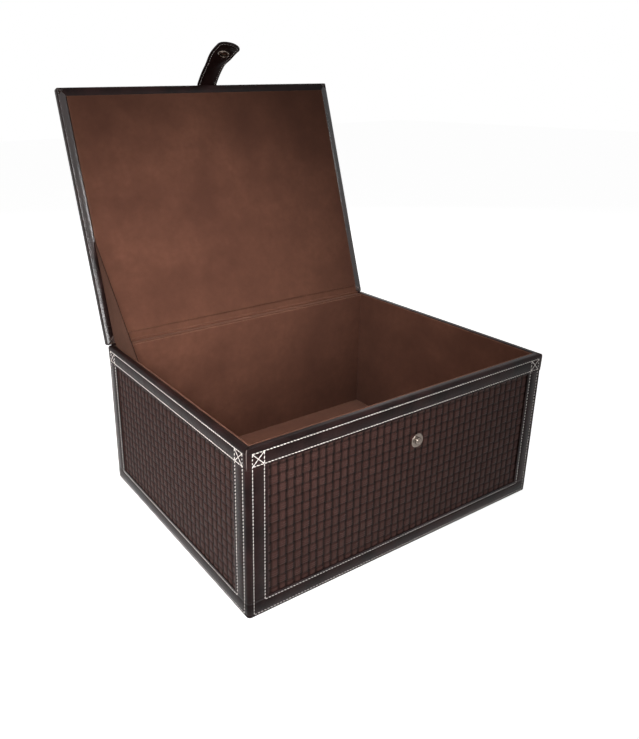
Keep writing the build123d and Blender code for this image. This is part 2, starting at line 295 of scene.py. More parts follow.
def sweep(section, stations):
    """Rows of points: the (inset, height) section at each station."""
    rows = []
    for station in stations:
        row = []
        for inset, z in section:
            where = Vector((*station(inset), z))
            row.append(Vector((*station(inset + surface_wander(where)), z)))
        rows.append(row)
    return rows


# ---- Materials ----
class Shader:
    """A node material that is built up by short calls."""

    def __init__(self, name):
        self.material = bpy.data.materials.new(name)
        self.material.use_nodes = True
        self.tree = self.material.node_tree
        self.surface = self.tree.nodes["Principled BSDF"]
        self.where = self.node("TexCoord").outputs["Object"]

    def node(self, kind, settings=None, **inputs):
        made = self.tree.nodes.new("ShaderNode" + kind)
        for key, value in (settings or {}).items():
            setattr(made, key, value)
        for key, value in inputs.items():
            self.feed(made, key.replace("_", " "), value)
        return made

    def feed(self, node, key, value):
        socket = node.inputs[int(key)] if key.isdigit() else node.inputs[key]
        if isinstance(value, bpy.types.NodeSocket):
            self.tree.links.new(value, socket)
        else:
            socket.default_value = value

    def math(self, operation, a, b=0.0, clamp=False):
        settings = {"operation": operation, "use_clamp": clamp}
        return self.node("Math", settings, **{"0": a, "1": b}).outputs[0]

    def noise(self, scale, detail=3.0, roughness=0.5):
        made = self.node("TexNoise", Vector=self.where, Scale=scale, Detail=detail, Roughness=roughness)
        return made.outputs["Fac"]

    def ramp(self, value, low, high, from_low=0.0, from_high=1.0):
        ends = {"From_Min": from_low, "From_Max": from_high, "To_Min": low, "To_Max": high}
        return self.node("MapRange", Value=value, **ends).outputs[0]

    def mix(self, factor, first, second):
        sockets = {"0": factor, "6": first, "7": second}
        return self.node("Mix", {"data_type": "RGBA"}, **sockets).outputs[2]

    def bump(self, height, strength, distance, normal=None):
        below = {} if normal is None else {"Normal": normal}
        return self.node("Bump", Height=height, Strength=strength, Distance=distance, **below).outputs[0]

    def near(self, reach, **settings):
        """1 where the piece has another surface close by, 0 in the open."""
        settings = {"only_local": True, "samples": 8, **settings}
        shade = self.node("AmbientOcclusion", settings, Distance=reach)
        return self.ramp(shade.outputs["AO"], 1, 0, 0.45, 0.95)

    def worn_and_lit_edge(self, reach):
        """1 along outward edges, 0 on flat ground: where rubbed wear and a painted highlight are laid on.
        """
        return self.near(reach, inside=True, samples=6)

    def finish(self, colour, rough, **inputs):
        inputs |= {"Base_Color": colour, "Roughness": rough}
        for key, value in inputs.items():
            self.feed(self.surface, key.replace("_", " "), value)
        return self.material


def rgb(red, green, blue):
    """Linear colour from the 8-bit one that it shows as."""
    levels = [v / 255 for v in (red, green, blue)]
    return tuple(v / 12.92 if v <= 0.04045 else ((v + 0.055) / 1.055) ** 2.4 for v in levels) + (1.0,)


def smooth_leather(name, shine, rough, dark, light):
    s = Shader(name)
    pores = s.node("TexVoronoi", {"feature": "SMOOTH_F1"}, Vector=s.where, Scale=800.0).outputs["Distance"]
    grain = s.noise(1500.0, 4.0, 0.6)
    cloudy = s.noise(35.0, 3.0)
    hide = s.mix(s.ramp(cloudy, 0, 1, 0.35, 0.65), dark, light)
    # Outward edges turn paler: rubbed wear, partly a painted highlight.
    worn_and_lit = s.math("MULTIPLY", s.worn_and_lit_edge(0.35 * MM), s.ramp(s.noise(90.0), 0.1, 0.6, 0.3, 0.7))
    colour = s.mix(worn_and_lit, hide, rgb(84, 66, 60))
    fine = s.bump(grain, 0.3, 0.25 * MM)
    coarse = s.bump(pores, 0.4, 0.3 * MM, fine)
    wavy = s.bump(s.noise(60.0, 2.0), 0.35, 1.2 * MM, coarse)
    return s.finish(colour, s.ramp(cloudy, rough, rough + 0.1), Normal=wavy, Specular_IOR_Level=shine)


def woven_leather():
    """Basket weave embossed in leather, with painted shade in the gaps between its pads; the UV map counts
    the cells.
    """
    s = Shader("embossed_leather")
    cells = s.node("SeparateXYZ", Vector=s.node("TexCoord").outputs["UV"])
    across, up = cells.outputs[0], cells.outputs[1]
    column, line = s.math("FLOOR", across), s.math("FLOOR", up)
    lying = s.math("PINGPONG", s.math("ADD", column, line), 1.0)

    def slope(along, part):
        start = s.ramp(lying, weave_gap[0][part], weave_gap[1][part])
        risen = s.math("SUBTRACT", s.math("PINGPONG", along, 0.5), start)
        return s.math("DIVIDE", risen, weave_slope, True)

    side, end = slope(across, 0), slope(up, 1)
    crown = s.math("MULTIPLY", side, s.ramp(end, 0.3, 1.0))
    on_upright = s.math("MULTIPLY", across, s.math("SUBTRACT", 1.0, lying))
    strand = s.math("ADD", on_upright, s.math("MULTIPLY", up, lying))
    ridge = s.math("COSINE", s.math("MULTIPLY", strand, 2 * pi * 4))
    place = s.node("CombineXYZ", X=column, Y=line)
    each = s.node("TexWhiteNoise", {"noise_dimensions": "2D"}, Vector=place.outputs[0]).outputs["Value"]
    tone = s.mix(s.ramp(each, 0.1, 0.9), rgb(58, 38, 34), rgb(78, 54, 49))
    stained = s.mix(s.noise(22.0, 4.0, 0.6), tone, rgb(68, 45, 41))
    # Painted shade: the gaps are near black, and the pads darken down their sloping sides.
    groove = s.mix(s.math("MAXIMUM", side, end), rgb(14, 8, 7), rgb(36, 23, 20))
    grain = s.noise(1100.0, 4.0, 0.65)
    ribs = s.bump(ridge, 0.6, 0.25 * MM, s.bump(grain, 0.35, 0.3 * MM))
    colour = s.mix(crown, groove, stained)
    return s.finish(colour, s.ramp(grain, 0.42, 0.6), Normal=ribs, Specular_IOR_Level=0.06)


def suede(name, dark, light, edge, reach):
    s = Shader(name)
    brushed = s.noise(14.0, 4.0, 0.6)
    mottled = s.noise(120.0, 4.0, 0.65)
    fibres = s.noise(1900.0, 3.0, 0.7)
    tone = s.mix(s.ramp(brushed, 0, 1, 0.3, 0.7), dark, light)
    patchy = s.mix(s.ramp(mottled, 0, 0.45, 0.3, 0.7), tone, dark)
    napped = s.mix(s.ramp(fibres, 0, 0.35, 0.35, 0.75), patchy, light)
    # Edges turn to the edge colour: rubbed wear, partly a painted highlight.
    colour = s.mix(s.math("MULTIPLY", s.worn_and_lit_edge(reach), 0.8), napped, edge)
    pile = s.bump(fibres, 0.5, 0.3 * MM)
    soft = s.bump(mottled, 0.2, 0.8 * MM, pile)
    nap = {"Sheen_Weight": 0.12, "Sheen_Roughness": 0.45, "Sheen_Tint": (0.75, 0.5, 0.4, 1.0)}
    return s.finish(colour, s.ramp(brushed, 0.86, 0.97), Normal=soft, Specular_IOR_Level=0.1, **nap)


def waxed_thread():
    s = Shader("waxed_thread")
    fuzz = s.noise(900.0, 3.0)
    twist = s.node("TexWave", {"bands_direction": "DIAGONAL"}, Vector=s.where, Scale=520.0, Distortion=1.5)
    colour = s.mix(s.ramp(fuzz, 0, 1, 0.3, 0.7), rgb(214, 205, 199), rgb(246, 239, 233))
    twisted = s.bump(twist.outputs["Fac"], 0.5, 0.2 * MM)
    return s.finish(colour, s.ramp(fuzz, 0.55, 0.75), Normal=twisted, Sheen_Weight=0.1)


def nickel():
    s = Shader("polished_nickel")
    stains = s.noise(240.0, 3.0)
    scratches = s.noise(2600.0, 2.0)
    bright = s.mix(stains, rgb(100, 90, 83), rgb(142, 131, 122))
    # Darker where other surfaces of the piece are close: painted shade in the hollows, with some tarnish.
    colour = s.mix(s.near(1.6 * MM), bright, rgb(40, 33, 29))
    brushed = s.bump(scratches, 0.06, 0.1 * MM)
    return s.finish(colour, s.ramp(stains, 0.14, 0.26), Normal=brushed, Metallic=1.0)


def fibreboard():
    s = Shader("fibreboard")
    fibres = s.noise(420.0, 5.0, 0.7)
    colour = s.mix(fibres, rgb(66, 48, 37), rgb(92, 70, 54))
    return s.finish(colour, 0.9, Normal=s.bump(fibres, 0.3, 0.3 * MM))


def white_floor():
    """Pale floor: its shadow stays, and to the eye, to gloss and to glass it is lifted to white."""
    s = Shader("pale_floor")
    paper = s.noise(9.0, 2.0)
    colour = s.mix(paper, rgb(236, 236, 236), rgb(240, 240, 240))
    glow = s.math("MULTIPLY", seen_white(s.tree), 0.88)
    white = (1.0, 1.0, 1.0, 1.0)
    return s.finish(colour, 0.9, Specular_IOR_Level=0.0, Emission_Color=white, Emission_Strength=glow)


def seen_white(tree):
    """1 for the rays that should meet a white studio: from the camera, from gloss and through glass."""
    path = tree.nodes.new("ShaderNodeLightPath")
    total = path.outputs["Is Camera Ray"]
    for name in ("Is Glossy Ray", "Is Transmission Ray"):
        either = tree.nodes.new("ShaderNodeMath")
        either.operation = "MAXIMUM"
        tree.links.new(total, either.inputs[0])
        tree.links.new(path.outputs[name], either.inputs[1])
        total = either.outputs[0]
    return total


HIDE = (rgb(20, 11, 10), rgb(40, 24, 23))
LEATHER = smooth_leather("smooth_leather", 0.08, 0.32, *HIDE)
GLOSSY = smooth_leather("polished_leather", 0.6, 0.13, *HIDE)
# Pale leather for the folds: a painted highlight along them, with the rubbed edge of the leather.
EDGE_AND_HIGHLIGHT_LEATHER = smooth_leather("leather_edge_and_highlight", 0.3, 0.35, rgb(92, 80, 76), rgb(136, 122, 116))
WOVEN = woven_leather()
# The third colour of each suede is its edge colour: rubbed wear, partly a painted highlight.
SUEDE = suede("suede", rgb(72, 44, 34), rgb(99, 64, 50), rgb(150, 112, 92), 0.9 * MM)
THIN_SUEDE = suede("thin_suede", rgb(70, 43, 33), rgb(97, 63, 49), rgb(120, 86, 70), 0.1 * MM)
# The darkest suede is painted shade along the gusset's free edge.
SHADE_EDGE_SUEDE = suede("shade_edge_suede", rgb(26, 14, 10), rgb(38, 22, 16), rgb(38, 22, 16), 0.1 * MM)
THREAD = waxed_thread()
NICKEL = nickel()
BOARD = fibreboard()


# ---- Faces of the box and lid that carry stitching and weave ----
class Face:
    """A flat side seen from outside: u runs to the right and d down from its upper left corner."""

    def __init__(self, name, origin, right, down, size, body="box"):
        self.name, self.body = name, body
        self.width, self.height = size
        self.origin, self.right, self.down = Vector(origin), Vector(right), Vector(down)
        self.normal = self.down.cross(self.right).normalized()
        self.move = to_open if body == "lid" else Matrix.Identity(4)
        self.outwards = self.move.to_3x3() @ self.normal

    def point(self, u, d, out=0.0):
        return self.move @ (self.origin + self.right * u + self.down * d + self.normal * out)


wide, deep, below = 2 * half_w, 2 * half_d, (0, 0, -1)
FACES = [
    Face("front", (-half_w, -half_d, rim_top), (1, 0, 0), below, (wide, rim_top)),
    Face("left", (-half_w, half_d, rim_top), (0, -1, 0), below, (deep, rim_top)),
    Face("back", (half_w, half_d, rim_top), (-1, 0, 0), below, (wide, rim_top)),
    Face("right", (half_w, -half_d, rim_top), (0, 1, 0), below, (deep, rim_top)),
    Face("lid", (-half_w, half_d, lid_top), (1, 0, 0), (0, -1, 0), (wide, deep), "lid"),
]


# ---- Stitching ----
def stitch(start, end, normal, slant=0.12, thick=1.0):
    """Rows of one thread loop: thickest in the middle, its ends sunk in the leather."""
    radius = thread_radius * thick
    along = end - start
    side = along.cross(normal).normalized()
    aim = along * 0.5 + side * (along.length * 0.5 * slant)
    sides = 6
    shape = ((-1, -0.5, 0.5), (-0.75, 0.1, 0.9), (0, 0.35, 1), (0.75, 0.1, 0.9), (1, -0.5, 0.5))
    rows = []
    for place, lift, share in shape:
        centre = (start + end) / 2 + aim * place + normal * (lift * radius)
        spokes = [side * cos(t) + normal * sin(t) * 0.8 for t in (2 * pi * k / sides for k in range(sides))]
        rows.append([centre + spoke * (radius * share) for spoke in spokes])
    return rows


def stitch_run(start, end, normal, share=stitch_share, thick=1.0):
    """Stitches from start to end, spaced evenly at about the pitch; share is their part of it."""
    count = max(1, round((end - start).length / stitch_pitch))
    slant = 0.12 if share < 1 else 0
    made = []
    for i in range(count):
        first = start.lerp(end, (i + (1 - share) / 2) / count)
        last = start.lerp(end, (i + (1 + share) / 2) / count)
        made.append(stitch(first, last, normal, slant, thick))
    return made


def stitched_face(face):
    """Two nested rectangles of stitches, and a crossed box where they meet at the upper corners."""
    stitches = []
    lowest = face.height - (row_from_top if face.name == "lid" else row_from_foot)
    pulled_tight = {"share": 0.8, "thick": 1.1}
    crossing = {"share": 1.15, "thick": 1.1}

    def run(u0, d0, u1, d1, **tension):
        start, end = face.point(u0, d0, -groove_depth / 2), face.point(u1, d1, -groove_depth / 2)
        stitches.extend(stitch_run(start, end, face.outwards, **tension))

    for side, head, foot in zip(side_rows, head_rows, (lowest, lowest - row_gap)):
        mirror = face.width - side
        run(side, head, side, foot)
        run(mirror, head, mirror, foot)
        run(side, head, mirror, head, **pulled_tight)
        run(side, foot, mirror, foot)
    upper, lower = head_rows
    for near, far in (side_rows, [face.width - side for side in side_rows]):
        run(far, upper, far, lower, **pulled_tight)
        run(near, lower, far, lower, **pulled_tight)
        run(near, upper, far, lower, **crossing)
        run(far, upper, near, lower, **crossing)
    obj = add_mesh("stitches_" + face.name, *join_lofts(*stitches), THREAD, 80)
    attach(obj, face.body)


# ---- Embossed panels ----
def weave_height(u, v):
    """Relief of the basket weave, 0 in the gaps and 1 on a pad, u and v counted in cells."""
    across, up = 0.5 - abs(u % 1 - 0.5), 0.5 - abs(v % 1 - 0.5)
    lying = (int(u // 1) + int(v // 1)) % 2
    side_from, end_from = weave_gap[lying]
    side = min(max((across - side_from) / weave_slope, 0), 1)
    end = min(max((up - end_from) / weave_slope, 0), 1)
    bow = 1 - (0.5 - across) ** 2 if lying else 1 - (0.5 - up) ** 2
    return sin(pi / 2 * side) * sin(pi / 2 * end) * bow


def woven_panel(face, node, tuck=1.5 * MM, per_cell=8):
    """Sheet with the weave standing out of it, its edges tucked under the strips."""
    edges = (lid_border_w,) * 3 if face.name == "lid" else (corner_w, rim_top - rim_low, base_top)
    left, head, foot = (edge - tuck for edge in edges)
    width, height = face.width - 2 * left, face.height - head - foot
    columns = round(width / weave_w * per_cell)
    lines = round(height / weave_h * per_cell)
    rows = []
    for v in (height * j / lines for j in range(lines + 1)):
        row = []
        for u in (width * i / columns for i in range(columns + 1)):
            relief = weave_height(u / weave_w + 0.5, v / weave_h + 0.5)
            row.append(face.point(left + u, head + v, weave_relief * (relief - weave_level) - strip_t))
        rows.append(row)
    points, faces = loft(rows, loop=False, capped=False)
    add_back(points, faces, grid_rim(columns, lines), -face.outwards * (panel_t + 0.2 * MM))
    obj = add_mesh("woven_" + node, points, faces, WOVEN, 80)
    paint_cells(obj, face, left, head)
    stands_for(obj, [node], face.body)


def grid_rim(columns, lines):
    """Numbers of the points round the edge of a grid, in order."""
    row = columns + 1
    rim = list(range(row))
    rim += [j * row + columns for j in range(1, lines + 1)]
    rim += [lines * row + i for i in range(columns - 1, -1, -1)]
    return rim + [j * row for j in range(lines - 1, 0, -1)]


def add_back(points, faces, rim, sunk):
    """Edge and flat back of a sheet, its rim moved by sunk."""
    back, count = len(points), len(rim)
    points += [points[index] + sunk for index in rim]
    for k in range(count):
        n = (k + 1) % count
        faces.append((rim[k], rim[n], back + n, back + k))
    faces.append(tuple(range(back, back + count)))


def paint_cells(obj, face, u_start, d_start):
    """UV map that counts the weave's cells."""
    layer = obj.data.uv_layers.new(name="cells")
    back = face.move.inverted()
    for loop in obj.data.loops:
        local = back @ obj.data.vertices[loop.vertex_index].co - face.origin
        u = (local.dot(face.right) - u_start) / weave_w + 0.5
        v = (local.dot(face.down) - d_start) / weave_h + 0.5
        layer.data[loop.index].uv = (u, v)


# ---- Leather strips on the body ----
def rim_leather():
    corners = [(strip_t, rim_low, 0), (0, rim_low, edge_round)]
    corners += grooves(0, [rim_top - row for row in reversed(head_rows)], True, 1)
    corners += [
        (0, rim_top, rim_roll),
        (lining_out, rim_top, 1.6 * MM),
        (lining_out, rim_top - rim_inner_drop, 0),
        (lining_out - rim_inner_t, rim_top - rim_inner_drop, 0),
        (lining_out - rim_inner_t, board_top, 0),
        (strip_t, board_top, 0),
    ]
    folded = {"step": 5, "pinch": rim_pinch}
    stations = [on_back(-spine_half), *past_side(-1, **folded), *along_front(half_w - corner_r)]
    stations += [*past_side(1, **folded), on_back(spine_half)]
    rows = sweep(round_corners(corners), stations)
    leather_piece("rim_leather", *join_lofts(rows), "box", "rim_strip")


def base_leather():
    corners = [(strip_t, base_top, 0), (0, base_top, edge_round)]
    corners += grooves(0, (row_from_foot + row_gap, row_from_foot), True, -1)
    corners += [
        (0, base_low, 1.5 * MM),
        (base_underwrap, base_low, 0),
        (base_underwrap, panel_low, 0),
        (strip_t, panel_low, 0),
    ]
    reach = half_w - corner_r
    stations = along_front(reach) + past_side(1)
    stations += [on_back(x) for x in span(reach, -reach)] + past_side(-1)
    rows = sweep(round_corners(corners), stations)
    leather_piece("base_leather", *loft(rows + [rows[0]], capped=False), "box", "base_strip")


def corner_leather(name, side_x, side_y):
    """Upright strip round a corner, with its long edges rolled and two grooves on each face."""
    marks = []
    for place in side_rows:
        marks += [(place + shift * groove_half, depth * groove_depth) for shift, depth in groove_shape]
    marks += [(corner_w - edge_round, 0.0), (corner_w - edge_round * 0.3, edge_round * 0.3)]
    marks.append((corner_w, edge_round))

    def spot(inset_x, inset_y):
        return side_x * (half_w - inset_x), side_y * (half_d - inset_y)

    outline = [spot(dip, along) for along, dip in reversed(marks)]
    outline += [station(0) for station in corner_run(side_x, side_y, 0, 90)]
    outline += [spot(along, dip) for along, dip in marks] + [spot(corner_w, strip_t)]
    outline += [station(strip_t) for station in corner_run(side_x, side_y, 90, 0)]
    outline.append(spot(strip_t, corner_w))
    inwards = Vector((-side_x, -side_y, 0))
    rows = []
    for z in span(base_top, rim_low):
        row = [Vector((x, y, z)) for x, y in outline]
        rows.append([p + inwards * surface_wander(p) for p in row])
    leather_piece("leather_" + name, *join_lofts(rows), "box", name)


# ---- Lid leather ----
def lid_crest(margin, start):
    """Inset and height across the rounded leather turned in under the lid."""
    return [(margin / 2 * (1 + t), lid_low + lid_crown * t * t) for t in span(start, 1, 0.16)]


def lid_section(leg, margin, with_grooves=True):
    """Section of the leather folded over the lid's edge, which is padded and rounded underneath."""
    corners = [(leg, lid_border_low, 0), (leg, lid_top, edge_round)]
    if with_grooves:
        corners += grooves(lid_top, head_rows[::-1], False, -1)
    corners += [
        (0, lid_top, 2.5 * MM),
        (0, lid_low + 1.7 * MM, 0.8 * MM),
        *[(inset, z, 0) for inset, z in lid_crest(margin, -0.84)],
        (margin, lid_board_low, 0),
        (strip_t, lid_board_low, 0),
        (strip_t, lid_border_low, 0),
    ]
    return round_corners(corners)


def opened(rows):
    return [[to_open @ p for p in row] for row in rows]


def lid_front_leather():
    stations = corner_run(-1, -1, 45, 90, radius=lid_corner_r)
    stations += along_front(half_w - lid_corner_r)
    stations += corner_run(1, -1, 90, 45, radius=lid_corner_r)
    rows = sweep(lid_section(lid_border_w, lid_margin), stations)
    leather_piece("lid_front_leather", *join_lofts(opened(rows)), "lid", "lid_border_front")


def lid_side_leather(name, side):
    """Side border: full width as far as the spine leather, then narrow round the rear corner."""
    spine_y = half_d - lid_border_w
    reach = half_d - lid_corner_r
    stations = corner_run(side, -1, 45, 0, radius=lid_corner_r)
    stations += [on_side(side, y) for y in span(-reach, spine_y)]
    wide_part = sweep(lid_section(lid_border_w, lid_margin), stations)
    stations = [on_side(side, y) for y in span(spine_y, reach)]
    stations += corner_run(side, 1, 0, 90, radius=lid_corner_r)
    stations.append(on_back(side * spine_half))
    section = lid_section(half_w - spine_half, lid_margin - 0.6 * MM, False)
    narrow_part = sweep(section, stations)
    parts = join_lofts(opened(wide_part), opened(narrow_part))
    obj = leather_piece("leather_" + name, *parts, "lid", name)
    obj.data.materials.append(GLOSSY)
    for polygon in obj.data.polygons:
        if (to_open.inverted() @ polygon.center).z < lid_low + glossy_rise:
            polygon.material_index = 1


# ---- Folds painted pale as a highlight and a rubbed edge, and rolled ends ----
def bead(path, side, radius):
    """Rows of a thin round edge along a path, drawn in at both ends."""
    rows = []
    for i, place in enumerate(path):
        tangent = (path[min(i + 1, len(path) - 1)] - path[max(i - 1, 0)]).normalized()
        up = side.cross(tangent)
        reach = radius * (1.0 if 0 < i < len(path) - 1 else 0.3)
        rows.append([place + (side * cos(t) + up * sin(t)) * reach for t in span(0, 2 * pi, 1.0)[:-1]])
    return rows


def rim_crease(side_x, side_y):
    """Line of the fold from the rim's rolled edge down its corner."""
    corner = on_corner(side_x, side_y, 45, pinch=rim_pinch)
    turns = [radians(t) for t in span(70, 0, 14)]
    path = [(rim_roll * (1 - cos(t)), rim_top - rim_roll * (1 - sin(t))) for t in turns]
    return [Vector((*corner(inset), z)) for inset, z in path + [(0.0, rim_low + MM)]]


def lid_mitre(side_x, side_y):
    """Line where the turned-in leathers meet under a corner of the lid, as far as the hinge cloth."""
    ends_at = lid_margin if side_y < 0 else lining_in
    crest = [(inset, z + mitre_sunk) for inset, z in lid_crest(lid_margin, -0.8) if inset < ends_at]
    return [Vector((side_x * (half_w - inset), side_y * (half_d - inset), z)) for inset, z in crest]


def folded_edges(name, line, body, place):
    """Pale beads on the folded leather at all four corners: a painted highlight along each fold, with its
    rubbed edge.
    """
    beads = []
    for side_x in (-1, 1):
        for side_y in (-1, 1):
            across = Vector((-side_y, side_x, 0)).normalized()
            rows = bead(line(side_x, side_y), across, crease_radius)
            beads.append([[place @ p for p in row] for row in rows])
    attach(add_mesh(name, *join_lofts(*beads), EDGE_AND_HIGHLIGHT_LEATHER), body)


def hinge_rolls():
    """Leather rolled over the ends of the rim, beside the spine."""
    ends = (spine_half - MM, spine_half, half_w - 1.6 * MM, half_w - 0.8 * MM)
    roll = 1.4 * MM
    beads = []
    for side in (-1, 1):
        path = [Vector((side * x, half_d - roll, rim_top - roll)) for x in ends]
        beads.append(bead(path, Vector((0, 1, 0)), roll))
    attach(add_mesh("hinge_rolls", *join_lofts(*beads), LEATHER), "box")


# ---- Spine, hinge cloth ----
def from_hinge(back, up):
    return Vector((0, hinge.y + back, hinge.z + up))


def on_open_lid(out, deep):
    """Point out along the open lid from the hinge line, deep into its thickness."""
    lean = open_angle - pi / 2
    return from_hinge(out * sin(lean) + deep * cos(lean), out * cos(lean) - deep * sin(lean))


def cross_strip(name, outline, reach, material, replaced):
    """Strip that runs across the whole hinge: a closed YZ outline drawn along X."""
    rows = [[Vector((x, p.y, p.z)) for p in outline] for x in span(-reach, reach)]
    obj = add_mesh(name, *join_lofts(rows), material)
    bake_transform(obj)
    stands_for(obj, [replaced])
    return obj


def spine():
    """Outer leather over the hinge, grooved where it is stitched on the wall and on the lid."""
    skin = half_d - strip_t
    wall = [Vector((0, half_d, rim_low)), Vector((0, skin, rim_low)), Vector((0, skin, hinge.z))]
    inside = [from_hinge(-strip_t * cos(t), strip_t * sin(t)) for t in span(0, open_angle, radians(15))]
    lid_points = round_corners([
        (strip_t, hinge.z, 0),
        (strip_t, lid_border_low, 0),
        (lid_border_w, lid_border_low, 0),
        (lid_border_w, lid_top, edge_round),
        *grooves(lid_top, head_rows[::-1], False, -1),
        (0, lid_top, 2.5 * MM),
        (0, hinge.z, 0),
    ])
    over = [to_open @ Vector((0, half_d - inset, z)) for inset, z in lid_points[1:-1]]
    face_marks = grooves(0, [rim_top - row for row in head_rows], True, -1)
    outside = [Vector((0, half_d - dip, z)) for dip, z, _ in face_marks]
    outline = wall + inside[1:] + over + [hinge.copy()] + outside
    cross_strip("spine_leather_cover", outline, spine_half, LEATHER, "spine_leather")


def cloth():
    """Suede over the back wall's top, the hinge and the lid's rear margin."""
    half = 0.3 * MM
    clear = strip_t + 0.15 * MM + half
    behind = -(lining_out - rim_inner_t / 2)
    top = board_top + half - hinge.z
    margin = lid_board_low - hinge.z - half
    quarter = open_angle / 4
    reach = clear / cos(quarter)
    route = [
        from_hinge(behind, top - 13 * MM),
        from_hinge(behind, top),
        from_hinge(-clear, top),
        *[from_hinge(-reach * cos(turn), reach * sin(turn)) for turn in (quarter, 3 * quarter)],
        on_open_lid(clear, margin),
        on_open_lid(lid_margin - 0.15 * MM, margin),
    ]
    side = half_w - lining_in
    obj = cross_strip("hinge_cloth_cover", thicken(route, half), side, THIN_SUEDE, "hinge_cloth")


def thicken(route, half):
    """Closed outline round an open YZ route, half to each side of it."""
    left, right = [], []
    for i, p in enumerate(route):
        before = (p - route[max(i - 1, 0)]).normalized()
        after = (route[min(i + 1, len(route) - 1)] - p).normalized()
        tangent = (before + after).normalized()
        out = Vector((0, -tangent.z, tangent.y)) * (half / max(0.5, tangent.dot(before if i else after)))
        left.append(p + out)
        right.append(p - out)
    return left + right[::-1]


# ---- Lining boards ----
def suede_board(node, low, high, body="box"):
    """Board wrapped in suede, with softened edges."""
    work = bmesh.new()
    size = high - low
    bmesh.ops.create_cube(work, size=1, matrix=Matrix.LocRotScale((low + high) / 2, None, size))
    radius = min(0.8 * MM, min(size) * 0.45)
    bmesh.ops.bevel(work, geom=work.edges[:], offset=radius, segments=3, profile=0.5, affect="EDGES")
    if body == "lid":
        bmesh.ops.transform(work, matrix=to_open, verts=work.verts)
    name = "suede_" + node
    obj = shaded_object(name, bpy.data.meshes.new(name), work, SUEDE, 50)
    stands_for(obj, [node], body)


def linings():
    rise = Vector((0, 0, suede_rise))
    for node in ("lining_front", "lining_left", "lining_right"):
        low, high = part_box(node)
        suede_board(node, low, high + rise)
    for node in ("lining_back", "lining_floor"):
        suede_board(node, *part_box(node))
    suede_board("lid_lining", *lid_lining_box, "lid")


# ---- Suede gusset ----
def gusset():
    """Two leaves in the plane of the left lining: one rides on the box, one on the lid."""
    wall_reach, lid_reach = 68 * MM, 125 * MM
    foot = from_hinge(-wall_reach, lining_top - hinge.z)
    head = on_open_lid(lid_reach, 0)
    fold_at = foot.lerp(head, 0.42)
    root = from_hinge(-4 * MM, 3 * MM)
    wall_root = from_hinge(-9 * MM, lining_top - hinge.z)
    lid_root = on_open_lid(5 * MM, 0)
    leaf("gusset_wall_leaf", (wall_root, root), (foot, fold_at), "box")
    leaf("gusset_lid_leaf", (root, lid_root), (fold_at, head), "lid")


def leaf_rows(roots, tips, x_out):
    """Rows of a leaf across its plane, with a seam pressed into both faces near the free edge."""
    thick = 0.8 * MM
    out = span(0, 0.93, 0.08) + [0.955, 0.965, 0.975, 0.99, 1.0]
    dip = {0.955: 0.12 * MM, 0.965: 0.3 * MM, 0.975: 0.12 * MM}
    rows = []
    for t in span(0, 1, 0.07):
        inner, outer = roots[0].lerp(roots[1], t), tips[0].lerp(tips[1], t)
        row = [(x_out + dip.get(share, 0), inner.lerp(outer, share)) for share in out]
        row += [(x_out + thick - dip.get(share, 0), inner.lerp(outer, share)) for share in reversed(out)]
        rows.append([Vector((x, p.y, p.z)) for x, p in row])
    return rows


def leaf(name, roots, tips, body):
    """Half of the gusset, between its roots at the hinge and the free edge, along which shade is painted
    dark.
    """
    # The lid's leaf lies a little further in, so the two slide over each other.
    further_in = 0.2 * MM if body == "lid" else 0
    rows = leaf_rows(roots, tips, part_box("lid_stay")[0].x + further_in)
    obj = add_mesh(name, *join_lofts(rows), THIN_SUEDE, 60)
    # Faces along the free edge take the second, darkest suede: painted shade.
    obj.data.materials.append(SHADE_EDGE_SUEDE)
    edge = (tips[1] - tips[0]).normalized()
    for face in obj.data.polygons:
        away = face.center - tips[0]
        away.x = 0
        if (away - edge * away.dot(edge)).length < 1.3 * MM:
            face.material_index = 1
    stands_for(obj, ["lid_stay"], body)
    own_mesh(obj)


# ---- Strap ----
strap_joint = joints["strap_fold"]
strap_x = strap_joint["pos_m"][0]
strap_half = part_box("strap_upper")[1].x - strap_x
strap_root = to_open.inverted() @ Vector(strap_joint["pos_m"])
strap_t = 2.4 * MM
strap_curl = 110 * MM
strap_start = radians(53)
strap_twist = radians(20)
strap_length = 90 * MM
strap_link = 44 * MM
strap_flex = 13 * MM  # half the length over which it bends and twists at the link
strap_sewn = 20 * MM
strap_round_from = strap_length - strap_half
strap_seam = 25 * MM  # where the upper piece of the strap hands over to the lower one
strap_knee = 3 * MM
socket_along = 62 * MM
core = 0.01 * MM  # radius at which a turned piece closes on its axis


def strap_line(along):
    """Inner face of the untwisted strap, lid closed: (ahead, down) from its root, and slope."""
    if along <= -strap_knee:
        return (along - 0.3 * MM, 0.0), 0.0
    if along >= strap_knee:
        turn = strap_start + along / strap_curl
        ahead = strap_curl * (sin(turn) - sin(strap_start))
        down = strap_curl * (cos(strap_start) - cos(turn))
        return (ahead, down), turn
    first, last = strap_line(-strap_knee), strap_line(strap_knee)
    start, end = Vector(first[0]), Vector(last[0])
    corner = Vector((end.x - end.y / tan(last[1]), 0))
    t = (along + strap_knee) / (2 * strap_knee)
    at = start * (1 - t) ** 2 + corner * (2 * t * (1 - t)) + end * t ** 2
    slope = (corner - start) * (1 - t) + (end - corner) * t
    return tuple(at), atan2(slope.y, slope.x)


def strap_flat(across, along, height):
    """Point of the untwisted strap in the closed lid's frame: height above its inner face."""
    (ahead, down), turn = strap_line(along)
    y = strap_root.y - ahead - height * sin(turn)
    z = strap_root.z - down + height * cos(turn)
    return Vector((strap_x + across, y, z))


link_slope = strap_start + strap_link / strap_curl
link_axis = Vector((0, -cos(link_slope), -sin(link_slope)))
link_point = strap_flat(0, strap_link, strap_t)


